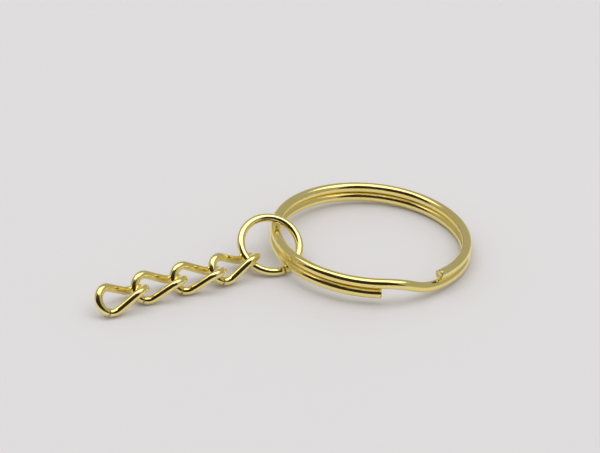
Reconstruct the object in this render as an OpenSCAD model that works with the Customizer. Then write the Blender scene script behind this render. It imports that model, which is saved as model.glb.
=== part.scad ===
// Key ring: a split ring, an open jump ring and a short twisted chain of four links.
// The chain lies stretched out on a table and trails along -X from the split ring.
// Every piece is bent from one length of round wire, so each one is a run of
// circular arcs and short straights that leave one another without a corner.
// The links and the two bent stretches of the split ring are swept in small steps.
// The origin is the centre of the split ring, and +Z is up from the table.

/* [Split ring] */
// Outside diameter of the split ring
ring_d = 30; // [25:0.5:38]
// Diameter of the wire that the split ring is wound from
ring_wire = 1.5; // [1.2:0.05:1.85]
// Space between the two coils of the split ring
coil_gap = 0.04; // [0.02:0.01:0.12]
// Direction, seen from above, of the cut end of the lower coil
lower_end_at = -106; // [-130:1:-90]
// Angle from the cut end of the lower coil to that of the upper coil
end_spread = 37; // [30:1:50]
// Angle before the lower end over which the wire already runs level on top
climb_rest = 2; // [2:1:8]
// Angle before its cut end over which the lower coil springs away from the upper coil
end_flare = 44; // [36:1:55]
// How far the lower coil has sprung down at its cut end
end_drop = 0.06; // [0.02:0.01:0.08]

/* [Jump ring] */
// Outside diameter of the jump ring
jump_d = 10; // [8.3:0.1:12]
// Diameter of the jump ring's wire
jump_wire = 1.2; // [0.9:0.05:1.45]
// Slit between the two ends of the jump ring
jump_slit = 0.06; // [0.02:0.01:0.2]

/* [Chain links] */
// Length of a link over the outside of its two bows
link_l = 8.6; // [7.5:0.1:10.5]
// Diameter of the links' wire
link_wire = 1.2; // [0.9:0.05:1.25]
// Room across a bow beside the neighbouring link's wire
bow_play = 0.5; // [0.3:0.05:0.7]
// Straight crown at the tip of a bow
crown = 0.3; // [0.2:0.1:0.8]
// Angle that a bow turns through on each side of its crown
bow_turn = 60; // [50:1:70]
// Angle that each bow is turned out of the link's middle plane
link_twist = 38; // [33:1:44]
// Width of a link half-way along, between the middles of its two legs
waist = 3.3; // [2.9:0.1:3.8]
// Angle between the middle of a leg and the link's length
leg_slope = 34; // [26:1:40]
// Slit at the butt seam of a link
link_slit = 0.05; // [0.02:0.01:0.15]

/* [Fit and lie] */
// Clearance between wires that hang in one another
run_gap = 0.1; // [0.06:0.01:0.25]
// Direction, seen from above, in which the split ring lies on the jump ring
jump_at = 188; // [180:1:198]
// Angle between the jump ring and the table
jump_lean = 34; // [32:1:38]
// Direction, seen from above, towards which the jump ring slopes down
jump_faces = -90; // [-95:1:-85]
// Place on the jump ring, from its level line, that passes under the split ring
under_at = 70; // [66:1:74]
// Place on the jump ring where the first link hangs
hook_at = 158; // [152:1:162]
// Place on the jump ring of its slit
slit_at = 79; // [76:1:100]
// Direction, seen from above, of each link from its ring side to its free side
link_heading = [198, 184, 187, 197];
// Roll of each link about its own length
link_roll = [-8, -14, -14, -11];

/* [Hidden] */
$fn = 48;
plating = "#e0c468";

// Middle lines of the wires
coil_r = (ring_d - ring_wire) / 2;
jump_r = (jump_d - jump_wire) / 2;
tip_x = (link_l - link_wire) / 2;
bow_r = link_wire + bow_play;
// Height from the split ring's middle to the middle of either coil
half_pitch = (ring_wire + coil_gap) / 2;
// Steps of a search by halving
halvings = 40;
// Sides of a swept wire, and the angle that it bends through between two of its rings
wire_sides = 16;
bend_step = 7.5;
// A swept stretch of the split ring is this share of its wire's size, so that it stays inside the coils
swept_share = 0.995;
// Angle by which a swept stretch of the split ring reaches into its coil
climb_lap = 4;
// Angle by which a coil's true round runs on past the place where a swept stretch leaves its circle
round_lap = 0.7;

// ---- Geometry of a bent wire ----

function unit(v) = v / norm(v);

// Point at an angle on a level circle
function polar(r, angle, z = 0) = [r * cos(angle), r * sin(angle), z];

// Direction at the end of the arc that leaves p in direction dir and ends at q
function end_dir(p, dir, q) =
    let (chord = unit(q - p))
    2 * (dir * chord) * chord - dir;

// Part of the chord from p to q that is square to dir, which points to the arc's centre
function inward(p, dir, q) = (q - p) - ((q - p) * dir) * dir;

// Point at a share of the way along that arc
function arc_point(p, dir, q, share) =
    let (chord = q - p, side = inward(p, dir, q))
    norm(side) < 0.000001 ? p + share * chord :
    let (to_centre = unit(side),
         r = chord * chord / (2 * chord * to_centre),
         turn = 2 * share * atan2(chord * to_centre, chord * dir))
    p + r * (sin(turn) * dir + (1 - cos(turn)) * to_centre);

// Meeting point of the two arcs that join p, left in direction dir, to q, reached in direction dir_q
function meeting_point(p, dir, q, dir_q) =
    let (v = q - p,
         sum = dir + dir_q,
         spread = 2 * (1 - dir * dir_q),
         reach = (sqrt((v * sum) * (v * sum) + spread * (v * v)) - v * sum) / spread)
    (p + q + reach * (dir - dir_q)) / 2;

// Direction of the wire at a share of the way along that arc
function arc_dir(p, dir, q, share) =
    let (chord = q - p, side = inward(p, dir, q))
    norm(side) < 0.000001 ? dir :
    let (to_centre = unit(side), turn = 2 * share * atan2(chord * to_centre, chord * dir))
    cos(turn) * dir + sin(turn) * to_centre;

// Number of rings that the arc from p to q needs
function arc_rings(p, dir, q) =
    max(1, ceil(2 * atan2(norm(inward(p, dir, q)), (q - p) * dir) / bend_step));

// Places and directions along a wire that is bent through the points and starts in direction dir
function wire_run(points, dir, at = 0) =
    at == len(points) - 1 ? [[points[at], dir]] :
    let (p = points[at], q = points[at + 1], rings = arc_rings(p, dir, q))
    concat(
        [for (i = [0 : rings - 1]) [arc_point(p, dir, q, i / rings), arc_dir(p, dir, q, i / rings)]],
        wire_run(points, end_dir(p, dir, q), at + 1));

// A round wire swept along such a run. The run never points straight at or away from centre.
module swept_wire(run, wire, centre) {
    r = wire / 2;
    last = len(run) - 1;
    rim = [for (station = run)
        let (across = unit(cross(station[0] - centre, station[1])), out = cross(station[1], across))
        for (i = [0 : wire_sides - 1])
            station[0] + r * (cos(360 * i / wire_sides) * across + sin(360 * i / wire_sides) * out)];
    start_face = [for (i = [0 : wire_sides - 1]) i];
    end_face = [for (i = [wire_sides - 1 : -1 : 0]) last * wire_sides + i];
    skin = [for (k = [0 : last - 1], i = [0 : wire_sides - 1])
        let (a = k * wire_sides + i,
             b = k * wire_sides + (i + 1) % wire_sides)
        each [[a, a + wire_sides, b + wire_sides], [a, b + wire_sides, b]]];
    polyhedron(points = rim, faces = concat([start_face, end_face], skin));
}

// Turns the X, Y and Z axes to x, y and their cross product, and moves the origin to place
module stand(place, x, y) {
    z = cross(x, y);
    multmatrix([
        [x[0], y[0], z[0], place[0]],
        [x[1], y[1], z[1], place[1]],
        [x[2], y[2], z[2], place[2]],
        [0, 0, 0, 1]
    ])
        children();
}

// A wire bent round a circle in the plane of x and y, from the angle first and through turn
module round_wire(place, x, y, r, first, turn, wire) {
    stand(place, x, y)
        rotate([0, 0, first])
            rotate_extrude(angle = turn)
                translate([r, 0])
                    circle(d = wire);
}

// ---- Split ring ----

// The climb is two arcs that mirror each other about the middle of the climb. Each starts level on
// its coil and bends in a plane that is turned out of the level by lift, which is searched for so
// that the two arcs rise from the one coil to the other.
half_climb = (end_spread - climb_rest) / 2;
function climb_bend(lift) = atan(tan(half_climb) / cos(lift));
function climb_r(lift) =
    let (bend = climb_bend(lift))
    coil_r * sin(half_climb) / (sin(bend) * cos(half_climb) + cos(lift) * (1 - cos(bend)) * sin(half_climb));
function climb_rise(lift) = climb_r(lift) * sin(lift) * (1 - cos(climb_bend(lift)));
function find_lift(low, high, step) =
    let (middle = (low + high) / 2)
    step == 0 ? middle :
    climb_rise(middle) < half_pitch ? find_lift(middle, high, step - 1) : find_lift(low, middle, step - 1);
climb_lift = find_lift(0, 85, halvings);
// Distance of the middle of the climb from the split ring's axis
climb_mid_r =
    (coil_r - climb_r(climb_lift) * cos(climb_lift) * (1 - cos(climb_bend(climb_lift)))) * cos(half_climb)
    + climb_r(climb_lift) * sin(climb_bend(climb_lift)) * sin(half_climb);

// Direction, seen from above, of the place where the wire leaves the lower coil, just under the upper end
climb_from = lower_end_at + end_spread;
climb_to = climb_from - 2 * half_climb;
// Each coil leaves out the stretch of the climb, and the lower one its flared end too
lower_turn = 360 - end_spread - end_flare;
upper_turn = 360 - 2 * half_climb;
flare_from = lower_end_at - end_flare;
flare_points = [
    polar(coil_r, flare_from - climb_lap, -half_pitch),
    polar(coil_r, flare_from, -half_pitch),
    polar(coil_r, lower_end_at, -half_pitch - end_drop)
];
climb_points = [
    polar(coil_r, climb_from + climb_lap, -half_pitch),
    polar(coil_r, climb_from, -half_pitch),
    polar(climb_mid_r, climb_from - half_climb, 0),
    polar(coil_r, climb_to, half_pitch),
    polar(coil_r, climb_to - climb_lap, half_pitch)
];

// ---- How the split ring lies on the jump ring ----

// Level and downhill directions in the jump ring's plane
jump_level = polar(1, jump_faces + 90);
jump_down = [cos(jump_lean) * cos(jump_faces), cos(jump_lean) * sin(jump_faces), -sin(jump_lean)];
function jump_point(angle) = jump_centre + jump_r * (cos(angle) * jump_level + sin(angle) * jump_down);
function jump_dir(angle) = cos(angle) * jump_down - sin(angle) * jump_level;

// Line square to the lower coil and to the jump ring's wire where the two cross, pointing up
crossing_up =
    let (square = unit(cross(polar(1, jump_at + 90), jump_dir(under_at))))
    square[2] < 0 ? -square : square;
under_reach = (ring_wire + jump_wire) / 2 + run_gap;
// Height of the jump ring's wire above the table at that crossing, and the tilt that it gives
under_height = jump_wire / 2 + jump_r * (1 - sin(under_at)) * sin(jump_lean);
ring_tilt = asin((under_height + under_reach / crossing_up[2] - ring_wire / 2) / (2 * coil_r));
tilt_line = polar(1, jump_at - 90);
function tilted(p) =
    p * cos(ring_tilt)
    + cross(tilt_line, p) * sin(ring_tilt)
    + tilt_line * (tilt_line * p) * (1 - cos(ring_tilt));
table_z = -(half_pitch * cos(ring_tilt) + coil_r * sin(ring_tilt) + ring_wire / 2);

jump_centre =
    tilted(polar(coil_r, jump_at, -half_pitch)) - under_reach * crossing_up
    - jump_r * (cos(under_at) * jump_level + sin(under_at) * jump_down);

// Half the angle of the jump ring's slit
half_slit = asin(jump_slit / 2 / jump_r);

// ---- One link, lying along X with its ring side at -X ----

ring_side = [0, cos(link_twist), sin(link_twist)];
free_side = [0, cos(link_twist), -sin(link_twist)];
bow_x = tip_x - bow_r * (1 - cos(bow_turn));
bow_y = crown / 2 + bow_r * sin(bow_turn);

// Where the bows end, and the directions of the wire there on its way to the ring side
function free_end(way) = [bow_x, 0, 0] + way * bow_y * free_side;
function free_dir(way) = [-sin(bow_turn), 0, 0] + way * cos(bow_turn) * free_side;
function ring_end(way) = [-bow_x, 0, 0] + way * bow_y * ring_side;
function ring_end_dir(way) = [-sin(bow_turn), 0, 0] - way * cos(bow_turn) * ring_side;
// Middle of a leg, and the direction of the wire there on its way to the ring side
function leg_middle(way) = [0, way * waist / 2, 0];
function leg_dir(way) = [-cos(leg_slope), 0, way * sin(leg_slope)];
function free_bend(way) = meeting_point(free_end(way), free_dir(way), leg_middle(way), leg_dir(way));
function ring_bend(way) = meeting_point(leg_middle(way), leg_dir(way), ring_end(way), ring_end_dir(way));

// Tip of a bow, and the ends of its crown
free_crown = [tip_x, 0, 0];
ring_crown = [-tip_x, 0, 0];
half_crown = crown / 2;

// The wire starts and ends at its butt seam, where the free bow meets the leg on the +Y side
seam_share = link_slit / 2 / norm(free_bend(1) - free_end(1));
seam_start = arc_point(free_end(1), free_dir(1), free_bend(1), seam_share);
seam_start_dir = arc_dir(free_end(1), free_dir(1), free_bend(1), seam_share);
seam_end_share = 1 - link_slit / 2 / norm(free_end(1) - free_crown - half_crown * free_side);
seam_end = arc_point(free_crown + half_crown * free_side, free_side, free_end(1), seam_end_share);
link_points = [
    seam_start,
    free_bend(1),
    leg_middle(1),
    ring_bend(1),
    ring_end(1),
    ring_crown + half_crown * ring_side,
    ring_crown - half_crown * ring_side,
    ring_end(-1),
    ring_bend(-1),
    leg_middle(-1),
    free_bend(-1),
    free_end(-1),
    free_crown - half_crown * free_side,
    free_crown + half_crown * free_side,
    seam_end
];

link_run = wire_run(link_points, seam_start_dir);

module link() {
    swept_wire(link_run, link_wire, [0, 0, 0]);
}

// ---- How the links lie ----

function turned(p, roll, pitch, heading) =
    let (y = p[1] * cos(roll) - p[2] * sin(roll),
         z = p[1] * sin(roll) + p[2] * cos(roll),
         x = p[0] * cos(pitch) + z * sin(pitch))
    [x * cos(heading) - y * sin(heading),
     x * sin(heading) + y * cos(heading),
     z * cos(pitch) - p[0] * sin(pitch)];

// Lowest point of the middle line of a level link with this roll
function lowest(roll) = min([for (station = link_run) turned(station[0], roll, 0, 0)[2]]);
function resting_z(i) = table_z + link_wire / 2 - lowest(link_roll[i]);

// The first link hangs on the jump ring and slopes down to where the second one rests
hook_reach = (jump_wire + link_wire) / 2 + run_gap;
link_reach = link_wire + run_gap;
hook_point = jump_point(hook_at);
first_pitch = asin((hook_point[2] - resting_z(1)) / (2 * tip_x - hook_reach));
link_pitch = [first_pitch, 0, 0, 0];
function along(i) = turned([1, 0, 0], link_roll[i], link_pitch[i], link_heading[i]);
// Ring side tip and free side tip of each link's middle line
function ring_tip(i) =
    i == 0
    ? hook_point - hook_reach * along(0)
    : free_tip(i - 1) - link_reach * unit(along(i - 1) + along(i));
function free_tip(i) = ring_tip(i) + 2 * tip_x * along(i);

module laid_link(i) {
    color(plating)
        translate(ring_tip(i) + tip_x * along(i))
            rotate([link_roll[i], link_pitch[i], link_heading[i]])
                link();
}

// ---- The pieces ----

module split_ring() {
    color(plating)
        rotate(a = ring_tilt, v = tilt_line) {
            round_wire(
                [0, 0, -half_pitch], [1, 0, 0], [0, 1, 0], coil_r,
                climb_from - round_lap, lower_turn + 2 * round_lap, ring_wire);
            swept_wire(
                wire_run(climb_points, polar(1, climb_from - 90 + climb_lap)),
                swept_share * ring_wire, [0, 0, 0]);
            round_wire(
                [0, 0, half_pitch], [1, 0, 0], [0, 1, 0], coil_r,
                climb_from, upper_turn + round_lap, ring_wire);
            swept_wire(
                wire_run(flare_points, polar(1, flare_from + 90 - climb_lap)),
                swept_share * ring_wire, [0, 0, 0]);
        }
}

module jump_ring() {
    color(plating)
        round_wire(
            jump_centre, jump_level, jump_down, jump_r,
            slit_at + half_slit, 360 - 2 * half_slit, jump_wire);
}

module chain_link_1() {
    laid_link(0);
}

module chain_link_2() {
    laid_link(1);
}

module chain_link_3() {
    laid_link(2);
}

module chain_link_4() {
    laid_link(3);
}

split_ring();
jump_ring();
chain_link_1();
chain_link_2();
chain_link_3();
chain_link_4();
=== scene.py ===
"""Key ring: a split ring, an open jump ring and a short twisted chain, all bent from round plated wire."""

import math

import bmesh
import bpy
from mathutils import Matrix, Vector


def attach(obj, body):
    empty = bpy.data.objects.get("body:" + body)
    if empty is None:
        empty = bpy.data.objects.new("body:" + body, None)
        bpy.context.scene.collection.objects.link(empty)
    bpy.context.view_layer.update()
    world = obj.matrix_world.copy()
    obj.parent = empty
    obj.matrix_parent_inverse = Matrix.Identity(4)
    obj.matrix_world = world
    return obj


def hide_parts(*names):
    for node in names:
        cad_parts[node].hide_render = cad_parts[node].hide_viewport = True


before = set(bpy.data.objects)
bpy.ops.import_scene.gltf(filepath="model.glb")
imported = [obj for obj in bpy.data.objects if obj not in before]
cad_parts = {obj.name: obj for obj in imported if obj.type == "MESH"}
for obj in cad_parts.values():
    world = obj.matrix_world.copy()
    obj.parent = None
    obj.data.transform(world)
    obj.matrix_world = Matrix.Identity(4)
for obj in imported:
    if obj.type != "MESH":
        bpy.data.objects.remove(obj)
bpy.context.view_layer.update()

bl_info = {
    "name": "Wire key ring",
    "version": (1, 0, 0),
    "blender": (4, 5, 0),
    "location": "3D View > Sidebar > Key ring",
    "description": "Bends a split ring, a jump ring and a twisted chain from round wire, and lights them",
    "category": "Add Mesh",
}

UP = Vector((0, 0, 1))
MM = 0.001
LINKS = 4
# Vertex attributes: where a point is in its wire when the wire is straight, and how far it is from a cut end
WIRE_PLACE = "wire_place"
CUT_DISTANCE = "cut_distance"
# A stretch of wire that bends by less than this is straight
STRAIGHT = 1e-9
# Angle that a wire bends through between two of its rings of points, and the points in a ring
BEND_STEP = math.radians(3)
WIRE_SIDES = 48
# Segments of a cut end's rounded rim, and the steps of its dish as shares of the depth and of the radius left
RIM_SEGMENTS = 5
DISH_STEPS = ((0.3, 0.2), (0.4, 0.3), (0.3, 0.3))
# A butted end is dished this many times less than a free cut end
SEAM_DISH_DIVISOR = 3
# Steepest lift that is tried for the climb, and the halvings of that search
STEEPEST_LIFT = math.radians(85)
HALVINGS = 60
# Where the dark opening begins, clockwise from the camera's direction, how far round it goes, and its facets
OPENING_LEAD = math.radians(75)
OPENING_SPAN = math.radians(120)
OPENING_STEPS = 40
# Colour of the light that the tent gives, and the tent's radius as a share of the table's half width
TENT_COLOUR = (1.0, 0.985, 0.975)
TENT_SHARE = 0.9
LAMP_COLOUR = (1.0, 0.985, 0.97)
# The camera's sensor in mm, and the nearest and farthest distance it sees, in metres
SENSOR_WIDTH = 36
CLIP_START = 0.01
CLIP_END = 50


# ---- Sizes that can be set ----


def size(name, description, default_mm):
    return bpy.props.FloatProperty(name=name, description=description, default=default_mm * MM, unit="LENGTH")


def angle(name, description, default_deg):
    return bpy.props.FloatProperty(
        name=name, description=description, default=math.radians(default_deg), subtype="ANGLE", unit="ROTATION"
    )


def link_angles(name, description, defaults_deg):
    return bpy.props.FloatVectorProperty(
        name=name, description=description, size=LINKS, default=[math.radians(a) for a in defaults_deg],
        unit="ROTATION"
    )


def colour(name, description, default):
    return bpy.props.FloatVectorProperty(
        name=name, description=description, size=3, default=default, min=0, max=1, subtype="COLOR"
    )


def share(name, description, default):
    return bpy.props.FloatProperty(
        name=name, description=description, default=default, min=0, max=1, subtype="FACTOR"
    )


class KeyRingSizes(bpy.types.PropertyGroup):
    ring_d: size("Split ring", "Outside diameter of the split ring", 30)
    ring_wire: size("Split ring wire", "Diameter of the split ring's wire", 1.5)
    coil_gap: size("Coil gap", "Space between the two coils", 0.04)
    lower_end_at: angle("Lower end", "Direction of the cut end of the lower coil", -106)
    end_spread: angle("End spread", "Angle between the two cut ends", 37)
    climb_rest: angle("Climb rest", "Angle before the lower end over which the wire runs level on top", 2)
    end_flare: angle("End flare", "Angle before its cut end over which the lower coil springs away", 44)
    end_drop: size("End drop", "How far the lower coil has sprung down at its cut end", 0.06)
    jump_d: size("Jump ring", "Outside diameter of the jump ring", 10)
    jump_wire: size("Jump ring wire", "Diameter of the jump ring's wire", 1.2)
    jump_slit: size("Jump ring slit", "Slit between the two ends of the jump ring", 0.06)
    link_l: size("Link", "Length of a link over its two bows", 8.6)
    link_wire: size("Link wire", "Diameter of the links' wire", 1.2)
    bow_play: size("Bow play", "Room across a bow beside the neighbouring link's wire", 0.5)
    crown: size("Crown", "Straight crown at the tip of a bow", 0.3)
    bow_turn: angle("Bow turn", "Angle that a bow turns through on each side of its crown", 60)
    link_twist: angle("Link twist", "Angle that each bow is turned out of the link's middle plane", 38)
    waist: size("Waist", "Width of a link half-way along, between the middles of its legs", 3.3)
    leg_slope: angle("Leg slope", "Angle between the middle of a leg and the link's length", 34)
    link_slit: size("Link slit", "Slit at the butt seam of a link", 0.05)
    run_gap: size("Running gap", "Clearance between wires that hang in one another", 0.1)
    rim: size("Cut rim", "Rounding of the split ring's cut ends", 0.14)
    seam_rim: size("Seam rim", "Rounding of the butted ends of the jump ring and the links", 0.08)
    dish: size("Cut dish", "Depth to which the shear dished a cut end", 0.07)


class KeyRingLie(bpy.types.PropertyGroup):
    jump_at: angle("Rests at", "Direction in which the split ring lies on the jump ring", 188)
    jump_lean: angle("Lean", "Angle between the jump ring and the table", 34)
    jump_faces: angle("Faces", "Direction towards which the jump ring slopes down", -90)
    under_at: angle("Under", "Place on the jump ring that passes under the split ring", 70)
    hook_at: angle("Hook", "Place on the jump ring where the first link hangs", 158)
    slit_at: angle("Slit", "Place on the jump ring of its slit", 79)
    headings: link_angles("Headings", "Direction of each link from its ring side", (198, 184, 187, 197))
    rolls: link_angles("Rolls", "Roll of each link about its own length", (-8, -14, -14, -11))


class KeyRingLooks(bpy.types.PropertyGroup):
    gold: colour("Gold", "Colour of the thick plating", (1.0, 0.83, 0.29))
    pale: colour("Pale gold", "Colour of the plating where it is thin and bright", (1.0, 0.9, 0.46))
    stain: colour("Stain", "Colour of the plating beside a cut or a seam", (0.36, 0.24, 0.08))
    gloss: share("Roughness", "Roughness of the plating where it is clean", 0.1)
    table: colour("Table", "Colour of the table", (0.665, 0.655, 0.67))
    opening: colour("Opening", "Colour of the dark room in front of the light tent", (0.006, 0.003, 0.003))


class KeyRingStage(bpy.types.PropertyGroup):
    aim: bpy.props.FloatVectorProperty(
        name="Aim", description="Point that the camera looks at", size=3, default=(-0.00941, 0.00489, 0.00092),
        subtype="TRANSLATION", unit="LENGTH"
    )
    distance: size("Distance", "Distance of the camera from that point", 355.9)
    azimuth: angle("Azimuth", "Direction of the camera from the key ring", -112)
    elevation: angle("Elevation", "Height of the camera above the table as an angle", 31.0)
    roll: angle("Roll", "Roll of the camera", 2.44)
    lens: bpy.props.FloatProperty(
        name="Lens", description="Focal length in mm on a 36 mm wide sensor", default=144
    )
    table_size: size("Table size", "Half the width of the table", 2500)
    room_radius: size("Opening distance", "Distance of the tent's dark opening", 385)
    lamp_height: size("Lamp height", "Height of the soft lamp above the table", 900)
    lamp_width: size("Lamp width", "Width of the soft lamp", 1500)
    lamp_depth: size("Lamp depth", "Depth of the soft lamp", 760)
    lamp_watts: bpy.props.FloatProperty(
        name="Lamp", description="Power of the soft lamp", default=5.0, unit="POWER"
    )
    wall_light: share("Wall light", "Brightness of the tent's walls", 0.38)
    fill_light: share("Fill light", "Brightness of the light that the tent scatters on the table", 0.78)


# ---- Bending wire ----


class WireBender:
    """Feeds a round wire out of a die and bends it, one stretch after another."""

    def __init__(self, place, direction, across, diameter):
        self.mesh = bmesh.new()
        self.place = Vector(place)
        self.direction = Vector(direction).normalized()
        self.fed = 0.0
        self.wire_place = self.mesh.verts.layers.float_vector.new(WIRE_PLACE)
        side = (across - across.dot(self.direction) * self.direction).normalized()
        turn = Matrix((side, self.direction.cross(side), self.direction)).transposed()
        circle = bmesh.ops.create_circle(
            self.mesh, segments=WIRE_SIDES, radius=diameter / 2,
            matrix=Matrix.Translation(self.place) @ turn.to_4x4()
        )
        for v in circle["verts"]:
            v[self.wire_place] = turn.inverted() @ (v.co - self.place)
        self.end = list(self.mesh.edges)

    def advance(self, made, length):
        """Takes what an operator has made as the wire's new end, fed out by length."""
        self.end = [e for e in made if isinstance(e, bmesh.types.BMEdge)]
        self.fed += length
        for v in {v for e in self.end for v in e.verts}:
            v[self.wire_place].z = self.fed

    def feed(self, length, steps=4):
        """Feeds out a straight stretch."""
        step = length / steps * self.direction
        for _ in range(steps):
            made = bmesh.ops.extrude_edge_only(self.mesh, edges=self.end)["geom"]
            verts = [v for v in made if isinstance(v, bmesh.types.BMVert)]
            bmesh.ops.translate(self.mesh, verts=verts, vec=step)
            ring = set(verts)
            rim = [e for e in made if isinstance(e, bmesh.types.BMEdge) and ring.issuperset(e.verts)]
            self.advance(rim, step.length)
        self.place += length * self.direction

    def bend(self, middle, axis, turn):
        """Bends the next stretch through turn about the axis through middle."""
        arm = self.place - middle
        radius = (arm - arm.dot(axis) * axis).length
        steps = max(1, math.ceil(turn / BEND_STEP))
        for _ in range(steps):
            made = bmesh.ops.spin(
                self.mesh, geom=self.end, cent=middle, axis=axis, angle=turn / steps, steps=1,
                use_merge=False, use_duplicate=False
            )
            self.advance(made["geom_last"], radius * turn / steps)
        rotation = Matrix.Rotation(turn, 3, axis)
        self.place = middle + rotation @ arm
        self.direction = (rotation @ self.direction).normalized()

    def reach(self, point):
        """Bends the wire along the one arc that leaves it smoothly and ends at point."""
        chord = point - self.place
        side = chord - chord.dot(self.direction) * self.direction
        if side.length < STRAIGHT:
            self.feed(chord.length)
            return
        to_middle = side.normalized()
        radius = chord.length_squared / (2 * chord.dot(to_middle))
        turn = 2 * math.atan2(chord.dot(to_middle), chord.dot(self.direction))
        self.bend(self.place + radius * to_middle, self.direction.cross(to_middle), turn)

    def cut(self, rim, dish):
        """Closes both ends as a shear leaves them: a rounded rim and a slightly dished face."""
        cut_distance = self.mesh.verts.layers.float.new(CUT_DISTANCE)
        for v in self.mesh.verts:
            v[cut_distance] = min(v[self.wire_place].z, self.fed - v[self.wire_place].z)
        open_edges = [e for e in self.mesh.edges if e.is_boundary]
        faces = bmesh.ops.holes_fill(self.mesh, edges=open_edges, sides=0)["faces"]
        bmesh.ops.recalc_face_normals(self.mesh, faces=self.mesh.faces)
        bmesh.ops.bevel(
            self.mesh, geom=[e for f in faces for e in f.edges], offset=rim, offset_type="OFFSET",
            segments=RIM_SEGMENTS, profile=0.5, affect="EDGES", clamp_overlap=True, material=-1
        )
        ends = [f for f in self.mesh.faces if len(f.verts) > 4]
        for depth_share, width_share in DISH_STEPS:
            radius = self.end_radius(ends[0])
            bmesh.ops.inset_individual(
                self.mesh, faces=ends, thickness=width_share * radius, depth=-depth_share * dish,
                use_even_offset=True
            )
        for f in self.mesh.faces:
            f.smooth = True

    @staticmethod
    def end_radius(face):
        return (face.verts[0].co - face.calc_center_median()).length

    def finish(self, name):
        """Makes the object, with its place in its mesh."""
        data = bpy.data.meshes.new(name)
        self.mesh.to_mesh(data)
        self.mesh.free()
        made = bpy.data.objects.new(name, data)
        bpy.context.scene.collection.objects.link(made)
        return made


def polar(radius, direction, z=0.0):
    return Vector((radius * math.cos(direction), radius * math.sin(direction), z))


def end_direction(start, direction, end):
    """Direction at the end of the arc that leaves start in this direction."""
    chord = (end - start).normalized()
    return 2 * direction.dot(chord) * chord - direction


def arc_start(start, direction, end, way):
    """Point and direction at a small share of the way along that arc."""
    chord = end - start
    side = chord - chord.dot(direction) * direction
    if side.length < STRAIGHT:
        return start + way * chord, direction
    to_middle = side.normalized()
    radius = chord.length_squared / (2 * chord.dot(to_middle))
    turn = 2 * way * math.atan2(chord.dot(to_middle), chord.dot(direction))
    place = start + radius * (math.sin(turn) * direction + (1 - math.cos(turn)) * to_middle)
    return place, math.cos(turn) * direction + math.sin(turn) * to_middle


def meeting_point(start, direction, end, end_dir):
    """Where the two arcs meet that join start, left in direction, to end, reached in end_dir."""
    v = end - start
    total = direction + end_dir
    spread = 2 * (1 - direction.dot(end_dir))
    along = v.dot(total)
    reach = (math.sqrt(along * along + spread * v.length_squared) - along) / spread
    return (start + end + reach * (direction - end_dir)) / 2


# ---- Where the pieces lie ----


class Lie:
    """How the pieces lie on the table and on one another, worked out from the sizes."""

    def __init__(self, s, lie):
        self.s = s
        self.lie = lie
        self.coil_r = (s.ring_d - s.ring_wire) / 2
        self.jump_r = (s.jump_d - s.jump_wire) / 2
        self.half_pitch = (s.ring_wire + s.coil_gap) / 2
        self.jump_level = polar(1, lie.jump_faces + math.pi / 2)
        self.jump_down = polar(math.cos(lie.jump_lean), lie.jump_faces, -math.sin(lie.jump_lean))
        coil_dir = polar(1, lie.jump_at + math.pi / 2)
        square = coil_dir.cross(self.jump_dir(lie.under_at)).normalized()
        crossing_up = square if square.z > 0 else -square
        under_reach = (s.ring_wire + s.jump_wire) / 2 + s.run_gap
        under_height = s.jump_wire / 2 + self.jump_r * (1 - math.sin(lie.under_at)) * math.sin(lie.jump_lean)
        self.tilt = math.asin((under_height + under_reach / crossing_up.z - s.ring_wire / 2) / (2 * self.coil_r))
        self.tilted = Matrix.Rotation(self.tilt, 3, polar(1, lie.jump_at - math.pi / 2))
        rise = self.half_pitch * math.cos(self.tilt) + self.coil_r * math.sin(self.tilt)
        self.table_z = -(rise + s.ring_wire / 2)
        crossing = self.tilted @ polar(self.coil_r, lie.jump_at, -self.half_pitch)
        self.jump_centre = crossing - under_reach * crossing_up - self.jump_arm(lie.under_at)

    def jump_arm(self, at):
        return self.jump_r * (math.cos(at) * self.jump_level + math.sin(at) * self.jump_down)

    def jump_dir(self, at):
        return math.cos(at) * self.jump_down - math.sin(at) * self.jump_level

    def resting_z(self, points, roll):
        """Height of a level link's middle when its lowest wire lies on the table."""
        lowest = min((Matrix.Rotation(roll, 3, "X") @ p).z for p in points)
        return self.table_z + self.s.link_wire / 2 - lowest

    def link_turns(self, points):
        """Rotation and middle of each link, from the jump ring to the free end."""
        s, lie = self.s, self.lie
        tip_x = (s.link_l - s.link_wire) / 2
        hook_reach = (s.jump_wire + s.link_wire) / 2 + s.run_gap
        link_reach = s.link_wire + s.run_gap
        hook = self.jump_centre + self.jump_arm(lie.hook_at)
        first_pitch = math.asin((hook.z - self.resting_z(points, lie.rolls[1])) / (2 * tip_x - hook_reach))
        places = []
        tip = before = None
        for i in range(LINKS):
            pitch = first_pitch if i == 0 else 0.0
            rotation = (
                Matrix.Rotation(lie.headings[i], 3, "Z")
                @ Matrix.Rotation(pitch, 3, "Y")
                @ Matrix.Rotation(lie.rolls[i], 3, "X")
            )
            along = rotation @ Vector((1, 0, 0))
            if i == 0:
                ring_tip = hook - hook_reach * along
            else:
                ring_tip = tip - link_reach * (before + along).normalized()
            tip = ring_tip + 2 * tip_x * along
            before = along
            places.append((rotation, ring_tip + tip_x * along))
        return places


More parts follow.
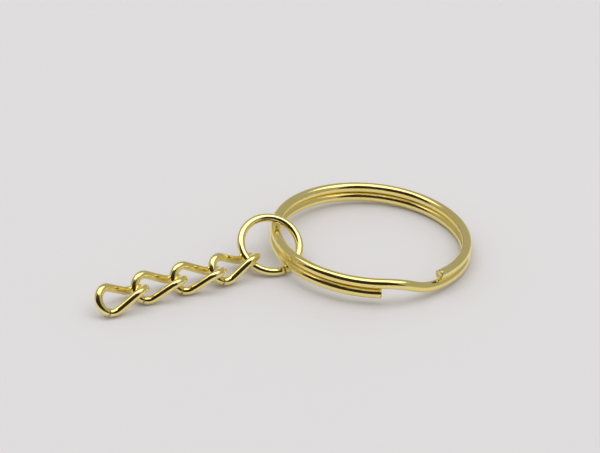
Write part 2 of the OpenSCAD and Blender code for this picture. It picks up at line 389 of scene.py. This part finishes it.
def climb_arc(coil_r, half_climb, rise):
    """Distance from the axis of the middle of the climb, for two arcs that rise by twice this height."""

    def bend(lift):
        return math.atan(math.tan(half_climb) / math.cos(lift))

    def radius(lift):
        b = bend(lift)
        return coil_r * math.sin(half_climb) / (
            math.sin(b) * math.cos(half_climb) + math.cos(lift) * (1 - math.cos(b)) * math.sin(half_climb)
        )

    low, high = 0.0, STEEPEST_LIFT
    for _ in range(HALVINGS):
        lift = (low + high) / 2
        if radius(lift) * math.sin(lift) * (1 - math.cos(bend(lift))) < rise:
            low = lift
        else:
            high = lift
    inward = radius(lift) * math.cos(lift) * (1 - math.cos(bend(lift)))
    forward = radius(lift) * math.sin(bend(lift))
    return (coil_r - inward) * math.cos(half_climb) + forward * math.sin(half_climb)


def link_shape(s):
    """Points that a link's wire is bent through, and its first direction, for a link that lies along X."""
    bow_r = s.link_wire + s.bow_play
    tip_x = (s.link_l - s.link_wire) / 2
    bow_x = tip_x - bow_r * (1 - math.cos(s.bow_turn))
    bow_y = s.crown / 2 + bow_r * math.sin(s.bow_turn)
    ring_side = Vector((0, math.cos(s.link_twist), math.sin(s.link_twist)))
    free_side = Vector((0, math.cos(s.link_twist), -math.sin(s.link_twist)))

    def free_end(way):
        return Vector((bow_x, 0, 0)) + way * bow_y * free_side

    def ring_end(way):
        return Vector((-bow_x, 0, 0)) + way * bow_y * ring_side

    def free_dir(way):
        return Vector((-math.sin(s.bow_turn), 0, 0)) + way * math.cos(s.bow_turn) * free_side

    def ring_dir(way):
        return Vector((-math.sin(s.bow_turn), 0, 0)) - way * math.cos(s.bow_turn) * ring_side

    def leg_middle(way):
        return Vector((0, way * s.waist / 2, 0))

    def leg_dir(way):
        return Vector((-math.cos(s.leg_slope), 0, way * math.sin(s.leg_slope)))

    def free_bend(way):
        return meeting_point(free_end(way), free_dir(way), leg_middle(way), leg_dir(way))

    def ring_bend(way):
        return meeting_point(leg_middle(way), leg_dir(way), ring_end(way), ring_dir(way))

    free_crown = Vector((tip_x, 0, 0))
    ring_crown = Vector((-tip_x, 0, 0))
    half_crown = s.crown / 2
    first = free_bend(1)
    seam_share = s.link_slit / 2 / (first - free_end(1)).length
    start, direction = arc_start(free_end(1), free_dir(1), first, seam_share)
    bow_start = free_crown + half_crown * free_side
    end, _ = arc_start(
        bow_start, free_side, free_end(1), 1 - s.link_slit / 2 / (free_end(1) - bow_start).length
    )
    points = [
        start,
        first,
        leg_middle(1),
        ring_bend(1),
        ring_end(1),
        ring_crown + half_crown * ring_side,
        ring_crown - half_crown * ring_side,
        ring_end(-1),
        ring_bend(-1),
        leg_middle(-1),
        free_bend(-1),
        free_end(-1),
        free_crown - half_crown * free_side,
        bow_start,
        end,
    ]
    return points, direction


# ---- Shader recipes ----


class Signal:
    """A shader socket that can be written into sums."""

    def __init__(self, tree, socket):
        self.tree = tree
        self.socket = socket

    def math(self, operation, first, second):
        node = self.tree.nodes.new("ShaderNodeMath")
        node.operation = operation
        for place, value in zip(node.inputs, (first, second)):
            if isinstance(value, Signal):
                self.tree.links.new(value.socket, place)
            else:
                place.default_value = value
        return Signal(self.tree, node.outputs[0])

    def __add__(self, other):
        return self.math("ADD", self, other)

    def __sub__(self, other):
        return self.math("SUBTRACT", self, other)

    def __rsub__(self, other):
        return self.math("SUBTRACT", other, self)

    def __mul__(self, other):
        return self.math("MULTIPLY", self, other)

    __radd__ = __add__
    __rmul__ = __mul__


class Recipe:
    """A material, built node by node."""

    def __init__(self, name):
        self.material = bpy.data.materials.new(name)
        self.material.use_nodes = True
        self.tree = self.material.node_tree
        self.tree.nodes.clear()

    def node(self, kind, output, settings=None, **values):
        """Adds a node, gives it its settings, fills its sockets by name and returns one output."""
        made = self.tree.nodes.new("ShaderNode" + kind)
        for key, value in (settings or {}).items():
            if key == "stops":
                ramp = made.color_ramp
                while len(ramp.elements) > len(value):
                    ramp.elements.remove(ramp.elements[-1])
                while len(ramp.elements) < len(value):
                    ramp.elements.new(1.0)
                for element, (position, level) in zip(ramp.elements, value):
                    element.position = position
                    element.color = (level, level, level, 1) if isinstance(level, (int, float)) else (*level, 1)
            else:
                setattr(made, key, value)
        for key, value in values.items():
            place = made.inputs[int(key[1:])] if key[1:].isdigit() else made.inputs[key.replace("_", " ")]
            if isinstance(value, Signal):
                self.tree.links.new(value.socket, place)
            else:
                place.default_value = (*value, 1) if place.type == "RGBA" and len(value) == 3 else value
        return Signal(self.tree, made.outputs[output])

    def stretched(self, vector, scale, turn=(0, 0, 0)):
        return self.node("Mapping", 0, Vector=vector, Scale=scale, Rotation=turn)

    def noise(self, vector, scale, detail=2.0, roughness=0.5):
        return self.node("TexNoise", 0, Vector=vector, Scale=scale, Detail=detail, Roughness=roughness)

    def ramp(self, signal, *stops):
        return self.node("ValToRGB", 0, {"stops": stops}, Fac=signal)

    def mix(self, factor, first, second):
        """A colour between two, by the factor."""
        return self.node("Mix", 2, {"data_type": "RGBA"}, i0=factor, i6=first, i7=second)

    def bump(self, height, distance):
        return self.node("Bump", 0, Height=height, Distance=distance)

    def output(self, surface):
        out = self.tree.nodes.new("ShaderNodeOutputMaterial")
        self.tree.links.new(surface.socket, out.inputs["Surface"])
        return self.material


def plating(looks, name, paleness):
    """Polished gold-coloured plating on drawn wire. Paleness is how far the colour leans to the pale plating."""
    r = Recipe(name)
    wire = r.node("Attribute", 1, {"attribute_name": WIRE_PLACE})
    cut = r.node("Attribute", 2, {"attribute_name": CUT_DISTANCE})
    place = r.node("TexCoord", 3)
    # Slow swells that the drawing die and the bending leave, which make a reflection waver
    swell = r.noise(r.stretched(wire, (1, 1, 0.6)), 620, 1.5)
    # Fine draw lines along the wire, and slanting rub marks from the coiling rollers
    lines = r.noise(r.stretched(wire, (9, 9, 0.12)), 1500, 3.0, 0.6)
    rubs = r.noise(r.stretched(wire, (0.5, 7, 3), (0.0, 0.7, 0.35)), 900, 3.0, 0.65)
    rub_patches = r.ramp(r.noise(place, 260, 1.0), (0.52, 0.0), (0.66, 1.0))
    # Dust-sized pits in the plating
    pits = r.ramp(r.node("TexVoronoi", 0, Vector=place, Scale=2600), (0.06, 1.0), (0.16, 0.0))
    pit_patches = r.ramp(r.noise(place, 900, 1.0), (0.58, 0.0), (0.66, 1.0))
    pitted = pits * pit_patches
    cloud = r.ramp(r.noise(place, 190, 3.0, 0.55), (0.36, 0.0), (0.7, 1.0))
    near_cut = r.ramp(cut * (1 / (0.5 * MM)), (0.0, 1.0), (0.45, 0.18), (1.0, 0.0))
    grime = near_cut * r.ramp(r.noise(place, 2400, 3.0, 0.6), (0.42, 0.0), (0.62, 1.0))

    clean = r.mix(cloud * 0.5 + paleness, looks.gold, looks.pale)
    stained = r.mix(grime * 0.75, clean, looks.stain)
    base = r.mix(pitted * 0.35, stained, looks.stain)
    roughness = looks.gloss + cloud * 0.03 + lines * 0.05 + rub_patches * rubs * 0.1 + grime * 0.25 + pitted * 0.2
    height = swell * 1.0 + lines * 0.012 + rub_patches * rubs * 0.06 - pitted * 0.12
    normal = r.bump(height, 0.012 * MM)
    surface = r.node(
        "BsdfPrincipled", 0, Base_Color=base, Metallic=1.0, Roughness=roughness, Normal=normal
    )
    return r.output(surface)


def table_top(looks):
    """A smooth pale card with the faintest tooth."""
    r = Recipe("table_card")
    place = r.node("TexCoord", 3)
    mottle = r.noise(place, 9, 3.0)
    tooth = r.noise(place, 2200, 2.0)
    darker = tuple(0.985 * c for c in looks.table)
    base = r.mix(mottle, looks.table, darker)
    normal = r.bump(tooth, 0.01 * MM)
    return r.output(r.node("BsdfPrincipled", 0, Base_Color=base, Roughness=0.62, Normal=normal, IOR=1.35))


def dark_card(looks):
    """The dark room that the tent's opening shows."""
    r = Recipe("dark_room")
    place = r.node("TexCoord", 3)
    uneven = r.noise(place, 2.5, 2.0)
    lighter = tuple(1.6 * c for c in looks.opening)
    base = r.mix(uneven, looks.opening, lighter)
    return r.output(r.node("BsdfPrincipled", 0, Base_Color=base, Roughness=0.9))


def dress(piece, body, node, material):
    """Makes a finished piece stand for its CAD node and ride on its body."""
    piece.data.materials.append(material)
    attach(piece, body)
    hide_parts(node)


# ---- Operators ----


class KEYRING_OT_split_ring(bpy.types.Operator):
    """Winds the split ring from one wire: lower coil, climb between the ends, upper coil"""

    bl_idname = "keyring.split_ring"
    bl_label = "Split ring"

    def execute(self, context):
        s, looks = context.scene.key_ring_sizes, context.scene.key_ring_looks
        lie = Lie(s, context.scene.key_ring_lie)
        r, h = lie.coil_r, lie.half_pitch
        half_climb = (s.end_spread - s.climb_rest) / 2
        climb_from = s.lower_end_at + s.end_spread
        middle_r = climb_arc(r, half_climb, h)
        # The wire is wound backwards from the lower coil's cut end, along the arc that leaves the coil smoothly
        flare_from = s.lower_end_at - s.end_flare
        leaves, sprung_end = polar(r, flare_from, -h), polar(r, s.lower_end_at, -h - s.end_drop)
        winding = polar(1, flare_from + math.pi / 2)
        wire = WireBender(sprung_end, -end_direction(leaves, winding, sprung_end), UP, s.ring_wire)
        wire.reach(leaves)
        wire.bend(Vector((0, 0, -h)), -UP, 2 * math.pi - s.end_spread - s.end_flare)
        wire.reach(polar(middle_r, climb_from - half_climb))
        wire.reach(polar(r, climb_from - 2 * half_climb, h))
        wire.bend(Vector((0, 0, h)), -UP, 2 * math.pi - 2 * half_climb)
        wire.cut(s.rim, s.dish)
        bmesh.ops.rotate(wire.mesh, verts=wire.mesh.verts, cent=(0, 0, 0), matrix=lie.tilted)
        material = plating(looks, "split_ring_plating", 0.0)
        dress(wire.finish("split_ring_wire"), "split_ring", "split_ring", material)
        return {"FINISHED"}


class KEYRING_OT_jump_ring(bpy.types.Operator):
    """Bends the open jump ring that holds the chain on the split ring"""

    bl_idname = "keyring.jump_ring"
    bl_label = "Jump ring"

    def execute(self, context):
        s, looks = context.scene.key_ring_sizes, context.scene.key_ring_looks
        lie = Lie(s, context.scene.key_ring_lie)
        half_slit = math.asin(s.jump_slit / 2 / lie.jump_r)
        first = context.scene.key_ring_lie.slit_at + half_slit
        axis = lie.jump_level.cross(lie.jump_down)
        start = lie.jump_centre + lie.jump_arm(first)
        wire = WireBender(start, lie.jump_dir(first), axis, s.jump_wire)
        wire.bend(lie.jump_centre, axis, 2 * math.pi - 2 * half_slit)
        wire.cut(s.seam_rim, s.dish / SEAM_DISH_DIVISOR)
        material = plating(looks, "jump_ring_plating", 0.35)
        dress(wire.finish("jump_ring_wire"), "jump_ring", "jump_ring", material)
        return {"FINISHED"}


class KEYRING_OT_chain(bpy.types.Operator):
    """Bends and twists the four links and lays them out"""

    bl_idname = "keyring.chain"
    bl_label = "Chain links"

    def execute(self, context):
        s, looks = context.scene.key_ring_sizes, context.scene.key_ring_looks
        lie = Lie(s, context.scene.key_ring_lie)
        points, direction = link_shape(s)
        material = plating(looks, "chain_plating", 0.1)
        path = self.middle_line(points, direction)
        for i, (rotation, middle) in enumerate(lie.link_turns(path), start=1):
            wire = WireBender(points[0], direction, UP, s.link_wire)
            for point in points[1:]:
                wire.reach(point)
            wire.cut(s.seam_rim, s.dish / SEAM_DISH_DIVISOR)
            bmesh.ops.rotate(wire.mesh, verts=wire.mesh.verts, cent=(0, 0, 0), matrix=rotation)
            bmesh.ops.translate(wire.mesh, verts=wire.mesh.verts, vec=middle)
            dress(wire.finish(f"link_{i}_wire"), f"link_{i}", f"chain_link_{i}", material)
        return {"FINISHED"}

    @staticmethod
    def middle_line(points, direction, steps=24):
        """Close points along the middle of a link's wire."""
        path = []
        for start, end in zip(points, points[1:]):
            path += [arc_start(start, direction, end, k / steps)[0] for k in range(steps)]
            direction = end_direction(start, direction, end)
        return path


class KEYRING_OT_stage(bpy.types.Operator):
    """Sets the table, the light tent with its dark opening, the soft lamp and the camera"""

    bl_idname = "keyring.stage"
    bl_label = "Stage"

    def execute(self, context):
        scene = context.scene
        stage, looks = scene.key_ring_stage, scene.key_ring_looks
        table_z = Lie(scene.key_ring_sizes, scene.key_ring_lie).table_z
        self.table(stage, looks, table_z)
        self.opening(stage, looks, table_z)
        self.lamp(stage, table_z)
        self.walls(scene, stage)
        self.fill(stage)
        self.camera(scene, stage)
        scene.view_settings.view_transform = "Standard"
        return {"FINISHED"}

    def add(self, name, mesh, material):
        data = bpy.data.meshes.new(name)
        mesh.to_mesh(data)
        mesh.free()
        data.materials.append(material)
        made = bpy.data.objects.new(name, data)
        bpy.context.scene.collection.objects.link(made)
        return made

    def table(self, stage, looks, table_z):
        mesh = bmesh.new()
        bmesh.ops.create_grid(
            mesh, x_segments=1, y_segments=1, size=stage.table_size, matrix=Matrix.Translation((0, 0, table_z))
        )
        self.add("table", mesh, table_top(looks))

    def opening(self, stage, looks, table_z):
        """A curved dark wall round the front, from the table up to the height of the lamp."""
        mesh = bmesh.new()
        first = stage.azimuth - OPENING_LEAD
        foot = mesh.verts.new(polar(stage.room_radius, first, table_z))
        head = mesh.verts.new(polar(stage.room_radius, first, table_z + stage.lamp_height))
        edge = mesh.edges.new((foot, head))
        bmesh.ops.spin(
            mesh, geom=[foot, head, edge], cent=(0, 0, 0), axis=UP, angle=OPENING_SPAN,
            steps=OPENING_STEPS, use_merge=False, use_duplicate=False
        )
        wall = self.add("dark_room_wall", mesh, dark_card(looks))
        wall.visible_camera = False
        wall.visible_diffuse = False

    def lamp(self, stage, table_z):
        data = bpy.data.lights.new("soft_lamp", "AREA")
        data.shape = "RECTANGLE"
        data.size = stage.lamp_width
        data.size_y = stage.lamp_depth
        data.energy = stage.lamp_watts
        data.color = LAMP_COLOUR
        made = bpy.data.objects.new("soft_lamp", data)
        bpy.context.scene.collection.objects.link(made)
        made.matrix_world = Matrix.Translation((0, 0, table_z + stage.lamp_height)) @ Matrix.Rotation(
            stage.azimuth + math.pi / 2, 4, "Z"
        )

    def walls(self, scene, stage):
        world = bpy.data.worlds.new("tent_walls")
        world.use_nodes = True
        background = world.node_tree.nodes["Background"]
        background.inputs["Color"].default_value = (*TENT_COLOUR, 1)
        background.inputs["Strength"].default_value = stage.wall_light
        scene.world = world

    def fill(self, stage):
        """Light that the tent scatters from all round. It is not seen in the plating."""
        mesh = bmesh.new()
        bmesh.ops.create_icosphere(mesh, subdivisions=3, radius=TENT_SHARE * stage.table_size)
        bmesh.ops.reverse_faces(mesh, faces=mesh.faces)
        r = Recipe("tent_cloth")
        glow = r.node("Emission", 0, Color=TENT_COLOUR, Strength=stage.fill_light)
        dome = self.add("tent_cloth", mesh, r.output(glow))
        dome.visible_camera = False
        dome.visible_glossy = False
        dome.visible_shadow = False

    def camera(self, scene, stage):
        data = bpy.data.cameras.new("camera")
        data.lens = stage.lens
        data.sensor_width = SENSOR_WIDTH
        data.sensor_fit = "HORIZONTAL"
        data.clip_start = CLIP_START
        data.clip_end = CLIP_END
        back = polar(math.cos(stage.elevation), stage.azimuth, math.sin(stage.elevation))
        right = UP.cross(back).normalized()
        up = back.cross(right)
        turned_right = math.cos(stage.roll) * right + math.sin(stage.roll) * up
        turned_up = math.cos(stage.roll) * up - math.sin(stage.roll) * right
        rotation = Matrix((turned_right, turned_up, back)).transposed().to_4x4()
        made = bpy.data.objects.new("camera", data)
        scene.collection.objects.link(made)
        made.matrix_world = Matrix.Translation(Vector(stage.aim) + stage.distance * back) @ rotation
        scene.camera = made


class KEYRING_PT_panel(bpy.types.Panel):
    """Lists the key ring's pieces and the stage"""

    bl_idname = "KEYRING_PT_panel"
    bl_label = "Key ring"
    bl_space_type = "VIEW_3D"
    bl_region_type = "UI"
    bl_category = "Key ring"

    def draw(self, context):
        for operator in OPERATORS:
            self.layout.operator(operator.bl_idname)
        for group in PROPERTY_GROUPS:
            box = self.layout.box()
            values = getattr(context.scene, group)
            for name in values.bl_rna.properties.keys():
                if name not in ("rna_type", "name"):
                    box.prop(values, name)


PROPERTY_GROUPS = {
    "key_ring_sizes": KeyRingSizes,
    "key_ring_lie": KeyRingLie,
    "key_ring_looks": KeyRingLooks,
    "key_ring_stage": KeyRingStage,
}
OPERATORS = (KEYRING_OT_split_ring, KEYRING_OT_jump_ring, KEYRING_OT_chain, KEYRING_OT_stage)
CLASSES = (*PROPERTY_GROUPS.values(), *OPERATORS, KEYRING_PT_panel)


def register():
    for cls in CLASSES:
        bpy.utils.register_class(cls)
    for name, group in PROPERTY_GROUPS.items():
        setattr(bpy.types.Scene, name, bpy.props.PointerProperty(type=group))


def unregister():
    for name in PROPERTY_GROUPS:
        delattr(bpy.types.Scene, name)
    for cls in reversed(CLASSES):
        bpy.utils.unregister_class(cls)


def main():
    register()
    bpy.ops.keyring.split_ring()
    bpy.ops.keyring.jump_ring()
    bpy.ops.keyring.chain()
    bpy.ops.keyring.stage()


if __name__ == "__main__":
    main()
